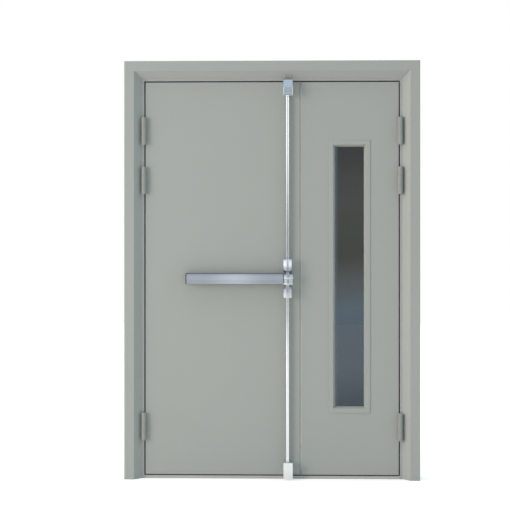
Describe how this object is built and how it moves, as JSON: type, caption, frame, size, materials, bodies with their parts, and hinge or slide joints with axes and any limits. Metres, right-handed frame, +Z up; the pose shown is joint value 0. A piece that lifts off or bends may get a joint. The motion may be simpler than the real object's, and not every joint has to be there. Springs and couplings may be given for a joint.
{
  "type": "unequal double-leaf steel exit door with frame",
  "caption": "Grey steel exit door: wide leaf with push bar and vertical rods, narrow leaf with a tall vision panel, both hinged in a splayed pressed frame.",
  "frame": {"origin": "underside of the sill, at the middle of the frame's width and depth", "axes": "+X right along the wall seen from the push bar side, +Y into the wall away from the push bar side, +Z up"},
  "size_m": [1.5, 0.145, 2.125],
  "materials": {
    "frame_paint": "satin",
    "leaf_paint": "satin",
    "hinge_paint": "satin",
    "leaf_core": "matte",
    "seal_rubber": "matte",
    "polished_steel": "polished",
    "push_bar_steel": "satin",
    "end_cap_plastic": "matte",
    "vision_glazing": "polished"
  },
  "bodies": {
    "frame": {"left_jamb": "frame_paint", "right_jamb": "frame_paint", "head": "frame_paint", "sill": "frame_paint", "left_gasket": "seal_rubber", "right_gasket": "seal_rubber", "top_gasket": "seal_rubber", "bottom_gasket": "seal_rubber", "top_strike": "hinge_paint", "left_top_hinge_on_frame": "hinge_paint", "left_upper_hinge_on_frame": "hinge_paint", "left_bottom_hinge_on_frame": "hinge_paint", "right_top_hinge_on_frame": "hinge_paint", "right_upper_hinge_on_frame": "hinge_paint", "right_bottom_hinge_on_frame": "hinge_paint"},
    "left_leaf": {"left_front_skin": "leaf_paint", "left_back_skin": "leaf_paint", "left_core": "leaf_core", "meeting_seal": "seal_rubber", "push_bar_rail": "push_bar_steel", "push_bar_end_cap": "end_cap_plastic", "exit_head": "polished_steel", "upper_rod_guide": "polished_steel", "lower_rod_guide": "polished_steel", "top_latch_case": "polished_steel", "bottom_latch_case": "polished_steel", "left_top_hinge_on_leaf": "hinge_paint", "left_upper_hinge_on_leaf": "hinge_paint", "left_bottom_hinge_on_leaf": "hinge_paint"},
    "push_bar": {"push_bar_pad": "push_bar_steel"},
    "upper_rod": {"upper_rod": "polished_steel"},
    "lower_rod": {"lower_rod": "polished_steel"},
    "right_leaf": {"right_front_skin": "leaf_paint", "right_back_skin": "leaf_paint", "right_core": "leaf_core", "vision_glass": "vision_glazing", "vision_gasket": "seal_rubber", "vision_front_trim": "leaf_paint", "vision_back_trim": "leaf_paint", "right_top_hinge_on_leaf": "hinge_paint", "right_upper_hinge_on_leaf": "hinge_paint", "right_bottom_hinge_on_leaf": "hinge_paint"}
  },
  "joints": [
    {"name": "left_leaf_swing", "type": "hinge", "parent": "frame", "child": "left_leaf", "pos_m": [-0.652, -0.037, 0], "axis": [0, 0, -1], "range_deg": [0, 120]},
    {"name": "right_leaf_swing", "type": "hinge", "parent": "frame", "child": "right_leaf", "pos_m": [0.652, -0.037, 0], "axis": [0, 0, 1], "range_deg": [0, 120]},
    {"name": "push_bar_press", "type": "slide", "parent": "left_leaf", "child": "push_bar", "axis": [0, 1, 0], "range_m": [0, 0.012], "stiffness_N_per_m": 2000, "springref_m": -0.01},
    {"name": "upper_rod_draw", "type": "slide", "parent": "left_leaf", "child": "upper_rod", "axis": [0, 0, -1], "range_m": [0, 0.012]},
    {"name": "lower_rod_lift", "type": "slide", "parent": "left_leaf", "child": "lower_rod", "axis": [0, 0, 1], "range_m": [0, 0.012]}
  ],
  "couplings": [
    {"joint": "upper_rod_draw", "follows": "push_bar_press", "ratio": 1},
    {"joint": "lower_rod_lift", "follows": "push_bar_press", "ratio": 1}
  ]
}
